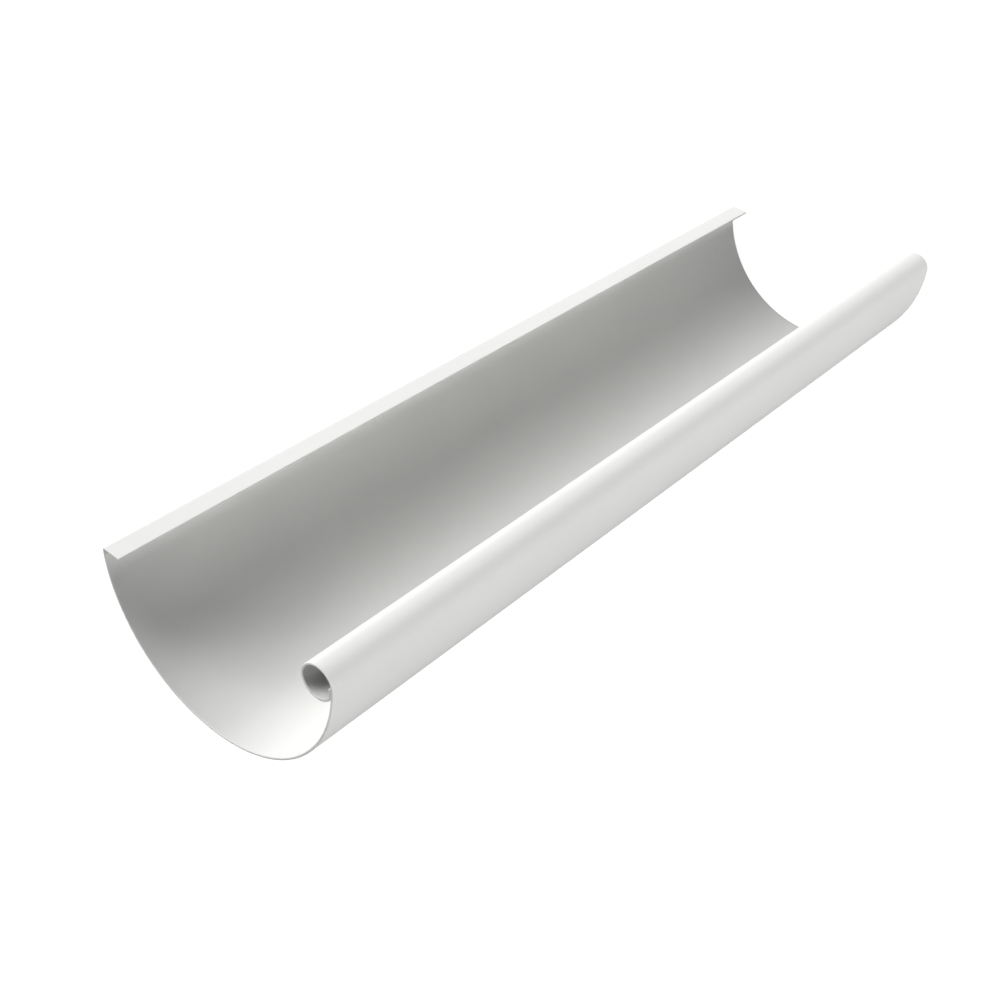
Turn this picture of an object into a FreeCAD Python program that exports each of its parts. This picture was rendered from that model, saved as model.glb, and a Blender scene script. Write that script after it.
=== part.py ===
import FreeCAD, Part
import math
import os

os.makedirs("parts", exist_ok=True)

# A length of half-round eaves gutter, roll-formed in one piece from a strip of
# sheet metal with a white coat.  Millimetres.
#
# The section is drawn as the gutter hangs: u runs towards the front (the bead
# side), v runs up, and the half round's centre is (0, 0).
#
# Unheld on a level floor the half round rocks, so the length stands on one of
# its square cut ends.  Row frame: +Z up along the gutter, -X towards the front
# bead, +X towards the back flange, -Y out of the open trough.  The origin is on
# the floor, under the middle of the width and depth.

# ---- driving dimensions -------------------------------------------------
length = 457.0           # square cut end to square cut end
outer_radius = 62.5      # half round, outside: 125 mm nominal size
sheet = 1.1              # over the coat on both faces

bead_radius = 7.85       # outside of the rolled front bead
bead_angle = -4.1        # direction from the half round's centre to the bead's centre

lip_gap = 0.1            # between the tucked lip and the front wall it is pressed to
lip_bend_inside = 0.2    # inside radius of the sharp bend where the curl becomes the lip
lip_end = -3.4           # direction of the lip's free edge, seen from the half round's centre

flange_reach = 10.0      # back flange, from the outside of the wall to its free edge
flange_slope = -8.0      # it leans down into the trough by this angle
flange_back_height = 1.45  # its top face, carried back to the outside of the wall
back_bend_inside = 0.2   # inside radius of the back corner

edge_round = 0.4         # rounding of the strip's two long free edges, under the coat


def at(centre, radius, angle):
    a = math.radians(angle)
    return (centre[0] + radius * math.cos(a), centre[1] + radius * math.sin(a))


def row(p):
    """Section point (u, v) in the row frame, before the origin is set."""
    return FreeCAD.Vector(-p[0], -p[1], 0)


def arc(centre, radius, a0, a1):
    """Arc edge from angle a0 to a1, through their mean."""
    return Part.Arc(*[row(at(centre, radius, a)) for a in (a0, 0.5 * (a0 + a1), a1)]).toShape()


def line(p, q):
    return Part.LineSegment(row(p), row(q)).toShape()


def quarter(corner, a, b):
    """Rounding of a square corner: the arc from the side along a to the side along b."""
    e = edge_round
    c = (corner[0] + e * (a[0] + b[0]), corner[1] + e * (a[1] + b[1]))
    k = e * math.sqrt(0.5)
    p = (corner[0] + e * a[0], corner[1] + e * a[1])
    q = (corner[0] + e * b[0], corner[1] + e * b[1])
    m = (c[0] - k * (a[0] + b[0]), c[1] - k * (a[1] + b[1]))
    return p, q, Part.Arc(row(p), row(m), row(q)).toShape()


O = (0.0, 0.0)
R = outer_radius
T = sheet

# ---- back corner --------------------------------------------------------
# The flange's top face is the line through (-R, flange_back_height) that slopes
# down towards the front.  The corner's outside arc touches that line from below
# and the wall's outside arc from within.
slope = math.radians(flange_slope)
along = (math.cos(slope), math.sin(slope))          # from the wall to the free edge
normal = (-math.sin(slope), math.cos(slope))        # up out of the top face
corner_r = back_bend_inside + T
p0 = (-R, flange_back_height)
# centre = p0 + s * along - corner_r * normal, at the distance R - corner_r from O
bx, by = p0[0] - corner_r * normal[0], p0[1] - corner_r * normal[1]
b = bx * along[0] + by * along[1]
c = bx * bx + by * by - (R - corner_r) ** 2
s = -b - math.sqrt(b * b - c)
Bc = (bx + s * along[0], by + s * along[1])
back_angle = math.degrees(math.atan2(Bc[1], Bc[0]))
if back_angle < 0:
    back_angle += 360.0
flange_angle = 90.0 + flange_slope                  # direction of the top face's normal
tip_s = flange_reach / along[0]
tip_top = (p0[0] + tip_s * along[0], p0[1] + tip_s * along[1])
tip_under = (tip_top[0] - T * normal[0], tip_top[1] - T * normal[1])

# ---- bead and tucked lip ------------------------------------------------
# The last bend's outside arc touches the bead's outside and the lip's outside,
# an arc that follows the front wall.
C = at(O, R - bead_radius, bead_angle)
lip_r = R - T - lip_gap
kink_r = lip_bend_inside + T
oc, ok, ck = R - bead_radius, lip_r - kink_r, bead_radius - kink_r
lip_start = bead_angle - math.degrees(math.acos((ok * ok + oc * oc - ck * ck) / (2.0 * ok * oc)))
K = at(O, ok, lip_start)
curl_end = math.degrees(math.atan2(K[1] - C[1], K[0] - C[0]))

# ---- rounded free edges of the strip -------------------------------------
back_way = (-along[0], -along[1])
down = (-normal[0], -normal[1])
f1, f2, flange_top_round = quarter(tip_top, back_way, down)
g1, g2, flange_under_round = quarter(tip_under, normal, back_way)

le = math.radians(lip_end)
lip_rad = (math.cos(le), math.sin(le))              # away from the half round's centre
da = math.degrees(edge_round / lip_r)
out0 = at(O, lip_r, lip_end - da)
out1 = at(O, lip_r - edge_round, lip_end)
in0 = at(O, lip_r - T + edge_round, lip_end)
in1 = at(O, lip_r - T, lip_end - math.degrees(edge_round / (lip_r - T)))
k45 = edge_round * (1.0 - math.sqrt(0.5))
lip_back = (math.sin(le), -math.cos(le))            # down the lip, away from its free edge
out_m = (lip_rad[0] * (lip_r - k45) + lip_back[0] * k45, lip_rad[1] * (lip_r - k45) + lip_back[1] * k45)
in_m = (lip_rad[0] * (lip_r - T + k45) + lip_back[0] * k45, lip_rad[1] * (lip_r - T + k45) + lip_back[1] * k45)

# ---- section: outside faces, then back along the inside faces ------------
edges = [
    line(f1, at(Bc, corner_r, flange_angle)),
    arc(Bc, corner_r, flange_angle, back_angle),
    arc(O, R, back_angle, 360.0 + bead_angle),
    arc(C, bead_radius, bead_angle, 360.0 + curl_end),
    arc(K, kink_r, curl_end, lip_start),
    arc(O, lip_r, lip_start, lip_end - da),
    Part.Arc(row(out0), row(out_m), row(out1)).toShape(),
    line(out1, in0),
    Part.Arc(row(in0), row(in_m), row(in1)).toShape(),
    arc(O, lip_r - T, lip_end - math.degrees(edge_round / (lip_r - T)), lip_start),
    arc(K, lip_bend_inside, lip_start, curl_end),
    arc(C, bead_radius - T, 360.0 + curl_end, bead_angle),
    arc(O, R - T, 360.0 + bead_angle, back_angle),
    arc(Bc, back_bend_inside, back_angle, flange_angle),
    line(at(Bc, back_bend_inside, flange_angle), g2),
    flange_under_round,
    line(g1, f2),
    flange_top_round,
]
section = Part.Face(Part.Wire(Part.__sortEdges__(edges)))
girth = section.Area / T
g = section.CenterOfMass

solid = section.extrude(FreeCAD.Vector(0, 0, length))
box = solid.optimalBoundingBox(False, False)
mid_x = 0.5 * (box.XMin + box.XMax)
mid_y = 0.5 * (box.YMin + box.YMax)
solid.translate(FreeCAD.Vector(-mid_x, -mid_y, 0))
if solid.Volume < 0:
    solid.reverse()

box = solid.optimalBoundingBox(False, False)
print("valid", solid.isValid(), solid.ShapeType, "volume mm3 %.1f" % solid.Volume, "girth mm %.1f" % girth)
print("faces", len(solid.Faces), "edges in the section", len(edges), "wire closed", section.OuterWire.isClosed())
print("half round's centre x %.4f y %.4f" % (-mid_x, -mid_y), "bead centre u v %.4f %.4f" % C)
print("last bend: curl end %.2f, lip start %.2f, centre %.3f %.3f" % (curl_end, lip_start, K[0], K[1]))
print("centre of gravity u v %.3f %.3f" % (-g.x, -g.y))
print("box", [round(v, 3) for v in (box.XMin, box.YMin, box.ZMin, box.XMax, box.YMax, box.ZMax)])

solid.exportStep("parts/gutter_section.step")
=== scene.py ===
import bpy
import math
import numpy as np
from mathutils import Matrix, Vector


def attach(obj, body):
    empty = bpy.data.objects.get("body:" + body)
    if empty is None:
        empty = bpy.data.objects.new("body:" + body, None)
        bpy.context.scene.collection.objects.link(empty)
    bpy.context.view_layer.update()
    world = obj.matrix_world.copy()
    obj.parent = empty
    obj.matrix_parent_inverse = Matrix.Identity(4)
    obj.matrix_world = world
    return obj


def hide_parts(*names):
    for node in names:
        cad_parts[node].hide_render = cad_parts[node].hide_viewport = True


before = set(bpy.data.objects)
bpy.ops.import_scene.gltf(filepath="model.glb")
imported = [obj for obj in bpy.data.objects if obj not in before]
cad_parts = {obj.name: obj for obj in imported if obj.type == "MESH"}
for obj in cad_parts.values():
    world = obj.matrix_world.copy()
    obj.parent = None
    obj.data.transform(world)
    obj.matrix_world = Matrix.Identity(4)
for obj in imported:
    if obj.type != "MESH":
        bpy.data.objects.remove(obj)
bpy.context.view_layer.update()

# ------------------------------------------------------------------------
# Section of the gutter, millimetres, as it hangs: u to the front, v up, the
# half round's centre at (0, 0).  The same driving numbers as the CAD source.
# ------------------------------------------------------------------------
LENGTH = 457.0
R = 62.5
T = 1.1
BEAD_R = 7.85
BEAD_ANGLE = -4.1
LIP_GAP = 0.1
LIP_BEND_IN = 0.2
LIP_END = -3.4
FLANGE_REACH = 10.0
FLANGE_SLOPE = -8.0
FLANGE_BACK = 1.45
CORNER_IN = 0.2
SLIT_EASE = 0.4

# the two cut ends: the coat rounds both corners of the sheet's edge
END_EASE = 0.35

N_LEN = 40
N_WALL = 200
N_BEAD = 110
N_EASE = 6


def at(c, r, deg):
    a = math.radians(deg)
    return (c[0] + r * math.cos(a), c[1] + r * math.sin(a))


# back corner: its outside arc touches the flange's top face and the wall
slope = math.radians(FLANGE_SLOPE)
along = (math.cos(slope), math.sin(slope))
up_n = (-math.sin(slope), math.cos(slope))
corner_r = CORNER_IN + T
p0 = (-R, FLANGE_BACK)
bx, by = p0[0] - corner_r * up_n[0], p0[1] - corner_r * up_n[1]
bq = bx * along[0] + by * along[1]
cq = bx * bx + by * by - (R - corner_r) ** 2
sq = -bq - math.sqrt(bq * bq - cq)
BC = (bx + sq * along[0], by + sq * along[1])
back_angle = math.degrees(math.atan2(BC[1], BC[0])) % 360.0
flange_angle = 90.0 + FLANGE_SLOPE
tip_s = FLANGE_REACH / along[0]
TIP = (p0[0] + tip_s * along[0], p0[1] + tip_s * along[1])

# bead, and the last bend, whose outside arc touches the bead's outside and the
# lip's outside, which lies along the wall
C = at((0.0, 0.0), R - BEAD_R, BEAD_ANGLE)
LIP_R = R - T - LIP_GAP
kink_r = LIP_BEND_IN + T
oc, ok, ck = R - BEAD_R, LIP_R - kink_r, BEAD_R - kink_r
lip_start = BEAD_ANGLE - math.degrees(math.acos((ok * ok + oc * oc - ck * ck) / (2.0 * ok * oc)))
K = at((0.0, 0.0), ok, lip_start)
curl_end = math.degrees(math.atan2(K[1] - C[1], K[0] - C[0]))

# Stations along the developed strip, from the flange's free edge to the lip's.
# Each is the outside point, the outward normal and the way along the strip.
stations = []


def add_line(p, q, n, steps):
    d = (q[0] - p[0], q[1] - p[1])
    m = math.hypot(*d)
    t = (d[0] / m, d[1] / m)
    for i in range(0, steps + 1):
        k = i / steps
        stations.append(((p[0] + k * d[0], p[1] + k * d[1]), n, t))


def add_arc(c, r, a0, a1, steps):
    """Counter-clockwise arc of the outside face; its first point is already there."""
    for i in range(1, steps + 1):
        a = a0 + (a1 - a0) * i / steps
        ra = math.radians(a)
        n = (math.cos(ra), math.sin(ra))
        stations.append((at(c, r, a), n, (-n[1], n[0])))


add_line(TIP, at(BC, corner_r, flange_angle), up_n, 10)
add_arc(BC, corner_r, flange_angle, back_angle, 18)
add_arc((0.0, 0.0), R, back_angle, 360.0 + BEAD_ANGLE, N_WALL)
add_arc(C, BEAD_R, BEAD_ANGLE, 360.0 + curl_end, N_BEAD)
add_arc(K, kink_r, curl_end, lip_start, 10)
add_arc((0.0, 0.0), LIP_R, lip_start, LIP_END, 8)

P = np.array([s[0] for s in stations])
NRM = np.array([s[1] for s in stations])
TAN = np.array([s[2] for s in stations])

# The free edges are rounded: (point, normal, tangent, inset, lean) of each row
rows = []
for k, sgn in ((0, -1.0), (-1, 1.0)):
    part = []
    for i in range(0, N_EASE + 1):
        a = 0.5 * math.pi * i / N_EASE
        back = SLIT_EASE * (1.0 - math.sin(a))
        part.append((P[k] - sgn * TAN[k] * back, NRM[k], TAN[k], SLIT_EASE * (1.0 - math.cos(a)), sgn * a))
    rows.append(part)
keep_from = 1
while np.dot(P[keep_from] - P[0], TAN[0]) < SLIT_EASE + 0.1:
    keep_from += 1
keep_to = len(P) - 2
while np.dot(P[-1] - P[keep_to], TAN[-1]) < SLIT_EASE + 0.1:
    keep_to -= 1
rows = rows[0][::-1] + [(P[i], NRM[i], TAN[i], 0.0, 0.0) for i in range(keep_from, keep_to + 1)] + rows[1]

# ------------------------------------------------------------------------
# Closed profile of the sheet in the plane of its thickness and the gutter's
# length, the same on both sides of the sheet's middle:
# (depth below the outside face, height, normal out, normal up, cut)
# ------------------------------------------------------------------------


def profile(inset):
    e = max(END_EASE - inset, 0.03)
    t0, t1, z0, z1 = inset, T - inset, inset, LENGTH - inset
    mid = 0.5 * (t0 + t1)
    out = []
    # outside face upwards, denser near the ends
    for i in range(N_LEN + 1):
        k = 0.5 - 0.5 * math.cos(math.pi * i / N_LEN)
        k = 0.35 * k + 0.65 * i / N_LEN
        out.append((t0, z0 + e + (z1 - z0 - 2 * e) * k, 1.0, 0.0, 0.0))
    top = []
    for i in range(1, N_EASE + 1):
        a = 0.5 * math.pi * i / N_EASE
        top.append((t0 + e * (1 - math.cos(a)), z1 - e * (1 - math.sin(a)), math.cos(a), math.sin(a), i / N_EASE))
    top.append((mid, z1, 0.0, 1.0, 1.0))
    half = out + top                                     # the last one is in the middle
    back = [(T - p[0], p[1], -p[2], p[3], p[4]) for p in half[:-1]][::-1]
    low = []
    for i in range(1, N_EASE + 1):
        a = 0.5 * math.pi * i / N_EASE
        low.append((T - t0 - e * (1 - math.cos(a)), z0 + e * (1 - math.sin(a)), -math.cos(a), -math.sin(a), i / N_EASE))
    low.append((mid, z0, 0.0, -1.0, 1.0))
    low += [(T - p[0], p[1], -p[2], p[3], p[4]) for p in low[:-1]][::-1]
    return np.array(half + back + low)


full = profile(0.0)
NP = len(full)
NH = N_LEN + 1 + N_EASE                                  # index of the top middle point
NB = NH + NH + N_EASE + 1                                # index of the bottom middle point

# row frame: the section's centre from its own extents, in millimetres
OX = 0.5 * (C[0] + BEAD_R + BC[0] - corner_r)
OY = 0.5 * (C[1] + BEAD_R - R)

co, nor, cut, girth = [], [], [], []
g = 0.0
prev = None
for p, n, t, inset, lean in rows:
    prof = full if inset == 0.0 else profile(inset)
    if prev is not None:
        g += math.hypot(p[0] - prev[0], p[1] - prev[1])
    prev = p
    uv = p[None, :] - n[None, :] * prof[:, 0:1]
    co.append(np.c_[-uv[:, 0] + OX, -uv[:, 1] + OY, prof[:, 1]] / 1000.0)
    nn = np.c_[-n[0] * prof[:, 2], -n[1] * prof[:, 2], prof[:, 3]]
    tt = np.array([-t[0], -t[1], 0.0])
    if lean:
        nn = nn * math.cos(lean) + tt[None, :] * math.sin(lean)
    nor.append(nn / np.linalg.norm(nn, axis=1)[:, None])
    cut.append(np.maximum(prof[:, 4], abs(math.sin(lean))))
    girth.append(np.full(NP, g / 1000.0))
M = len(rows)
co = np.concatenate(co)
nor = np.concatenate(nor)
cut = np.concatenate(cut)
girth = np.concatenate(girth)

faces = []
for i in range(M - 1):
    a, b = i * NP, (i + 1) * NP
    for j in range(NP):
        k = (j + 1) % NP
        faces.append((a + j, b + j, b + k, a + k))


def cap(base, flip):
    """Faces across the sheet's thickness on a free edge, each point to its mirror."""
    side = [NB + 1 + i for i in range(N_EASE)] + list(range(0, NH))
    mirror = [(2 * NH - j) if j <= NH else (2 * NB - j) for j in side]
    out = [(NB, side[0], side[1]), (NB, side[1], mirror[1]), (NB, mirror[1], mirror[0])]
    for i in range(1, len(side) - 2):
        out.append((mirror[i], side[i], side[i + 1], mirror[i + 1]))
    out += [(NH, mirror[-1], mirror[-2]), (NH, mirror[-2], side[-2]), (NH, side[-2], side[-1])]
    out = [tuple(base + k for k in f) for f in out]
    return [f[::-1] for f in out] if flip else out


faces += cap(0, False)
faces += cap((M - 1) * NP, True)

mesh = bpy.data.meshes.new("gutter")
mesh.from_pydata([tuple(c) for c in co], [], faces)
mesh.validate()
mesh.update()
for name, values in (("cut", cut), ("girth", girth)):
    attr = mesh.attributes.new(name, "FLOAT", "POINT")
    attr.data.foreach_set("value", values.astype(np.float32))
mesh.shade_smooth()
mesh.normals_split_custom_set_from_vertices([tuple(v) for v in nor])
gutter = bpy.data.objects.new("gutter_length", mesh)
bpy.context.scene.collection.objects.link(gutter)

# ------------------------------------------------------------------------
# Material
# ------------------------------------------------------------------------
BASE = 0.70                                              # pale satin white, a touch warm


def node(tree, kind, **props):
    n = tree.nodes.new(kind)
    for k, v in props.items():
        setattr(n, k, v)
    return n


def noise(tree, vector, scale, detail, rough=0.5):
    n = node(tree, "ShaderNodeTexNoise", noise_dimensions="3D")
    n.inputs["Scale"].default_value = scale
    n.inputs["Detail"].default_value = detail
    n.inputs["Roughness"].default_value = rough
    tree.links.new(vector, n.inputs["Vector"])
    return n.outputs["Fac"]


def ranged(tree, value, lo, hi, to_lo, to_hi):
    n = node(tree, "ShaderNodeMapRange")
    for k, v in zip(("From Min", "From Max", "To Min", "To Max"), (lo, hi, to_lo, to_hi)):
        n.inputs[k].default_value = v
    tree.links.new(value, n.inputs["Value"])
    return n.outputs["Result"]


def math_node(tree, op, x, y):
    n = node(tree, "ShaderNodeMath", operation=op)
    for i, v in enumerate((x, y)):
        if isinstance(v, float):
            n.inputs[i].default_value = v
        else:
            tree.links.new(v, n.inputs[i])
    return n.outputs[0]


mat = bpy.data.materials.new("white_coat")
mat.use_nodes = True
nt = mat.node_tree
bsdf = nt.nodes["Principled BSDF"]
bsdf.inputs["IOR"].default_value = 1.5
here = node(nt, "ShaderNodeTexCoord").outputs["Object"]

# how the coat lies along the strip: round the section by "girth", along the gutter by height
girth_at = node(nt, "ShaderNodeAttribute", attribute_name="girth").outputs["Fac"]
cut_at = node(nt, "ShaderNodeAttribute", attribute_name="cut").outputs["Fac"]
split = node(nt, "ShaderNodeSeparateXYZ")
nt.links.new(here, split.inputs[0])
strip = node(nt, "ShaderNodeCombineXYZ")
nt.links.new(girth_at, strip.inputs["X"])
nt.links.new(math_node(nt, "MULTIPLY", split.outputs["Z"], 0.03), strip.inputs["Y"])

cloud = noise(nt, here, 16.0, 3.0)                       # broad drift of the coat, 60 mm across
fleck = noise(nt, here, 420.0, 2.0, 0.6)                 # fine tone grain
lines = noise(nt, strip.outputs[0], 480.0, 2.0)          # faint lines left by the forming rolls

# tone: the coat drifts under one percent, and thins to a greyer tone on the sheet's edges
tone = math_node(nt, "MULTIPLY", ranged(nt, cloud, 0.3, 0.7, 0.990, 1.008), ranged(nt, fleck, 0.2, 0.8, 0.994, 1.006))
tone = math_node(nt, "MULTIPLY", tone, ranged(nt, lines, 0.25, 0.75, 0.997, 1.003))
tone = math_node(nt, "MULTIPLY", tone, ranged(nt, cut_at, 0.0, 1.0, 1.0, 0.93))
colour = node(nt, "ShaderNodeCombineColor", mode="RGB")
for chan, tint in (("Red", 1.0), ("Green", 0.999), ("Blue", 0.982)):
    nt.links.new(math_node(nt, "MULTIPLY", tone, BASE * tint), colour.inputs[chan])
nt.links.new(colour.outputs[0], bsdf.inputs["Base Color"])

# gloss: satin, a little duller in the drift and on the edges
gloss = math_node(nt, "ADD", ranged(nt, cloud, 0.3, 0.7, 0.345, 0.385), ranged(nt, lines, 0.25, 0.75, -0.015, 0.015))
gloss = math_node(nt, "ADD", gloss, ranged(nt, cut_at, 0.0, 1.0, 0.0, 0.06))
nt.links.new(gloss, bsdf.inputs["Roughness"])

# relief: orange peel about 1.5 mm across and a few microns high, over the roll lines
peel = noise(nt, here, 680.0, 1.5)
micro = noise(nt, here, 2600.0, 1.0)
relief = math_node(nt, "ADD", math_node(nt, "MULTIPLY", peel, 0.8), math_node(nt, "MULTIPLY", micro, 0.12))
relief = math_node(nt, "ADD", relief, math_node(nt, "MULTIPLY", lines, 0.25))
bump = node(nt, "ShaderNodeBump")
bump.inputs["Strength"].default_value = 0.6
bump.inputs["Distance"].default_value = 0.000012
nt.links.new(relief, bump.inputs["Height"])
nt.links.new(bump.outputs[0], bsdf.inputs["Normal"])
mesh.materials.append(mat)

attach(gutter, "root")
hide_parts("gutter_section")

# ------------------------------------------------------------------------
# Floor, light and camera
# ------------------------------------------------------------------------
floor_mesh = bpy.data.meshes.new("floor")
floor_mesh.from_pydata([(-20, -20, 0), (20, -20, 0), (20, 20, 0), (-20, 20, 0)], [], [(0, 1, 2, 3)])
floor = bpy.data.objects.new("floor", floor_mesh)
bpy.context.scene.collection.objects.link(floor)
fmat = bpy.data.materials.new("pale_floor")
fmat.use_nodes = True
fb = fmat.node_tree.nodes["Principled BSDF"]
fb.inputs["Base Color"].default_value = (0.30, 0.30, 0.30, 1.0)
fb.inputs["Roughness"].default_value = 1.0
fb.inputs["Specular IOR Level"].default_value = 0.0
fb.inputs["Emission Color"].default_value = (1.0, 1.0, 1.0, 1.0)
fb.inputs["Emission Strength"].default_value = 0.93
floor_mesh.materials.append(fmat)
floor.visible_diffuse = False
floor.visible_glossy = False

# a pale backdrop far behind the floor, which other views see above it; it gives no light
RINGS, TURNS, FAR = 12, 64, 19.0
dome_co = [(0.0, 0.0, FAR)]
for i in range(RINGS):
    e = math.radians(90.0 * (1.0 - (i + 1) / RINGS))
    for j in range(TURNS):
        t = 2.0 * math.pi * j / TURNS
        dome_co.append((FAR * math.cos(e) * math.cos(t), FAR * math.cos(e) * math.sin(t), FAR * math.sin(e)))
dome_faces = [(0, 1 + (j + 1) % TURNS, 1 + j) for j in range(TURNS)]
for i in range(RINGS - 1):
    for j in range(TURNS):
        k = (j + 1) % TURNS
        p, q = 1 + i * TURNS, 1 + (i + 1) * TURNS
        dome_faces.append((p + j, p + k, q + k, q + j))
dome_mesh = bpy.data.meshes.new("backdrop")
dome_mesh.from_pydata(dome_co, [], dome_faces)
dome_mesh.shade_smooth()
dome = bpy.data.objects.new("backdrop", dome_mesh)
bpy.context.scene.collection.objects.link(dome)
dmat = bpy.data.materials.new("pale_backdrop")
dmat.use_nodes = True
dt = dmat.node_tree
db = dt.nodes["Principled BSDF"]
db.inputs["Base Color"].default_value = (0.0, 0.0, 0.0, 1.0)
db.inputs["Roughness"].default_value = 1.0
db.inputs["Specular IOR Level"].default_value = 0.0
db.inputs["Emission Color"].default_value = (1.0, 1.0, 1.0, 1.0)
rise = node(dt, "ShaderNodeSeparateXYZ")
dt.links.new(node(dt, "ShaderNodeTexCoord").outputs["Object"], rise.inputs[0])
dt.links.new(ranged(dt, rise.outputs["Z"], 0.0, 4.0, 0.93, 0.80), db.inputs["Emission Strength"])
dome_mesh.materials.append(dmat)
for kind in ("diffuse", "glossy", "transmission", "volume_scatter", "shadow"):
    setattr(dome, "visible_" + kind, False)

world = bpy.data.worlds.new("world")
bpy.context.scene.world = world
world.use_nodes = True
world.node_tree.nodes["Background"].inputs["Color"].default_value = (1.0, 1.0, 1.0, 1.0)
world.node_tree.nodes["Background"].inputs["Strength"].default_value = 0.0

# Soft lamps 4 m away: (turn round the gutter from its open side, height angle, power, whether the gloss shows it).
# The ones level with the gutter are low wide strips, so it is lit the same all along.
LAMPS = (
    (90.0, 0.0, 1.162, True),
    (285.0, 0.0, 0.490, False),
    (315.0, 0.0, 0.700, False),
    (345.0, 12.0, 0.430, True),
    (315.0, 25.0, 0.326, True),
    (330.0, 25.0, 0.400, True),
    (120.0, 40.0, 0.153, True),
    (330.0, 40.0, 0.395, True),
    (120.0, 65.0, 0.288, True),
    (0.0, 88.0, 0.203, True),
    (225.0, 0.0, 0.450, True),
)
# Faint low lamps 0.6 m away, which open up the shade by the floor: (turn, watts)
LOW_LAMPS = ((330.0, 0.508),)
GLOW = 5.68                                              # watts, off the pale floor


def add_lamp(name, where, back, watts, shape, size, size_y, gleam=True):
    """A lamp that doesn't show, and shines along the reverse of back; gleam lets it show in the gloss."""
    lamp = bpy.data.lights.new(name, "AREA")
    lamp.shape = shape
    lamp.size = size
    if shape == "RECTANGLE":
        lamp.size_y = size_y
    lamp.energy = watts
    o = bpy.data.objects.new(name, lamp)
    bpy.context.scene.collection.objects.link(o)
    o.location = where
    o.rotation_mode = "QUATERNION"
    o.rotation_quaternion = back.to_track_quat("Z", "Y")
    o.visible_camera = False
    o.visible_glossy = gleam


def around(az, el):
    a, e = math.radians(az), math.radians(el)
    return Vector((-math.sin(a) * math.cos(e), -math.cos(a) * math.cos(e), math.sin(e)))


aim = Vector((0.0, 0.0, 0.228))
for i, (az, el, power, gleam) in enumerate(LAMPS):
    d = around(az, el)
    add_lamp("soft_%d" % i, aim + 4.0 * d, d, 100.0 * power, "RECTANGLE" if el < 5.0 else "DISK", 1.2, 0.4, gleam)
for i, (az, watts) in enumerate(LOW_LAMPS):
    d = around(az, 0.0)
    add_lamp("low_%d" % i, Vector((0.0, 0.0, 0.04)) + 0.6 * d, (d + Vector((0.0, 0.0, -0.12))).normalized(), watts, "RECTANGLE", 0.3, 0.06, False)
# the light that a pale floor throws back up, as a wide disk lying on it
add_lamp("floor_glow", Vector((0.0, 0.0, 0.0003)), Vector((0.0, 0.0, -1.0)), GLOW, "DISK", 2.4, 0.0)


def place(x, front, up):
    """Point given as along the gutter from its upper end, to the front, and up as hung, in millimetres."""
    return Vector((-front + OX, -up + OY, LENGTH - x)) / 1000.0


def way(x, front, up):
    return Vector((-front, -up, -x))


def look(yaw, pitch, roll):
    """Camera axes from its heading along the gutter, its dip and its roll, in degrees."""
    a, e, r = (math.radians(v) for v in (yaw, pitch, roll))
    fwd = (math.cos(e) * math.cos(a), -math.cos(e) * math.sin(a), -math.sin(e))
    f = way(*fwd).normalized()
    upw = way(0.0, 0.0, 1.0)
    right = f.cross(upw).normalized()
    down = f.cross(right)
    rr = math.cos(r) * right + math.sin(r) * down
    dd = -math.sin(r) * right + math.cos(r) * down
    return rr, -dd, -f


CAM = dict(f=1471.859, pos=(-4.22361, 5.64048, 5.21826), yaw=39.3258, pitch=32.9254, roll=-0.2026)
cam_data = bpy.data.cameras.new("camera")
cam_data.sensor_width = 36.0
cam_data.lens = CAM["f"] * 36.0 / 1000.0
cam_data.clip_start, cam_data.clip_end = 0.01, 100.0
cam = bpy.data.objects.new("camera", cam_data)
bpy.context.scene.collection.objects.link(cam)
rx, ry, rz = look(CAM["yaw"], CAM["pitch"], CAM["roll"])
loc = place(*(v * R for v in CAM["pos"]))
cam.matrix_world = Matrix(((rx[0], ry[0], rz[0], loc[0]), (rx[1], ry[1], rz[1], loc[1]), (rx[2], ry[2], rz[2], loc[2]), (0, 0, 0, 1)))
bpy.context.scene.camera = cam
bpy.context.scene.view_settings.view_transform = "Standard"
